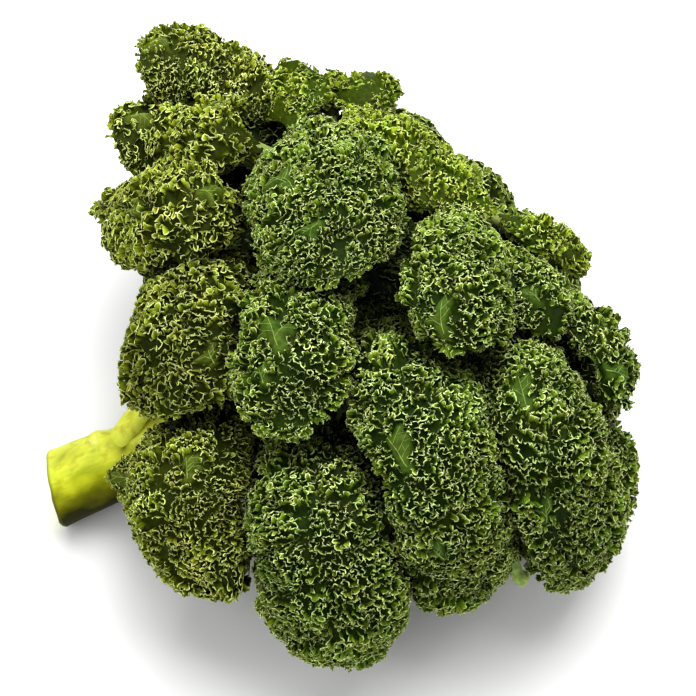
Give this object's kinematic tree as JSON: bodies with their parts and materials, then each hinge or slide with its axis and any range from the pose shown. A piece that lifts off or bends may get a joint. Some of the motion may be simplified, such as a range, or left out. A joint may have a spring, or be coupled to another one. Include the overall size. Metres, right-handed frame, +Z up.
{
  "type": "kale bunch",
  "caption": "Cut head of curly kale lying on its side: a thick pale stalk and a mound of tightly ruffled leaves that curl down over it.",
  "frame": {"origin": "centre of the bounding box in plan, on the surface the bunch lies on", "axes": "+Z up, -Y towards the front of the mound, -X towards the cut end of the stalk"},
  "size_m": [0.3811, 0.4438, 0.2547],
  "materials": {
    "stalk_flesh": "smooth, slightly waxy pale stem",
    "leaf_olive": "satin leaf, olive green with pale rims",
    "leaf_yellow": "satin leaf, yellow green",
    "leaf_green": "satin leaf, mid green with pale rims",
    "leaf_dark": "satin leaf, deep green with pale rims"
  },
  "bodies": {
    "root": {"leaf_a": "leaf_olive", "leaf_b": "leaf_olive", "leaf_back_1": "leaf_dark", "leaf_back_2": "leaf_dark", "leaf_back_3": "leaf_dark", "leaf_back_4": "leaf_dark", "leaf_back_5": "leaf_dark", "leaf_c": "leaf_olive", "leaf_c_back": "leaf_olive", "leaf_d": "leaf_olive", "leaf_e": "leaf_olive", "leaf_e_left": "leaf_olive", "leaf_f": "leaf_green", "leaf_g": "leaf_green", "leaf_h": "leaf_green", "leaf_h_right": "leaf_green", "leaf_i": "leaf_green", "leaf_inner_1": "leaf_dark", "leaf_inner_2": "leaf_dark", "leaf_inner_3": "leaf_dark", "leaf_inner_4": "leaf_dark", "leaf_inner_5": "leaf_dark", "leaf_j": "leaf_green", "leaf_j_under": "leaf_green", "leaf_k": "leaf_green", "leaf_k_right": "leaf_green", "leaf_l": "leaf_green", "leaf_l_right": "leaf_green", "leaf_left_1": "leaf_dark", "leaf_left_2": "leaf_dark", "leaf_left_3": "leaf_dark", "leaf_low_1": "leaf_dark", "leaf_low_2": "leaf_dark", "leaf_low_3": "leaf_dark", "leaf_low_4": "leaf_dark", "leaf_low_5": "leaf_dark", "leaf_m": "leaf_yellow", "leaf_mid_1": "leaf_dark", "leaf_mid_2": "leaf_dark", "leaf_mid_3": "leaf_dark", "leaf_mid_4": "leaf_dark", "leaf_mid_5": "leaf_dark", "leaf_mid_6": "leaf_dark", "leaf_mid_7": "leaf_dark", "leaf_mid_8": "leaf_dark", "leaf_mid_9": "leaf_dark", "leaf_n": "leaf_yellow", "leaf_o": "leaf_yellow", "leaf_o_right": "leaf_yellow", "leaf_p": "leaf_yellow", "stalk": "stalk_flesh"}
  },
  "joints": []
}
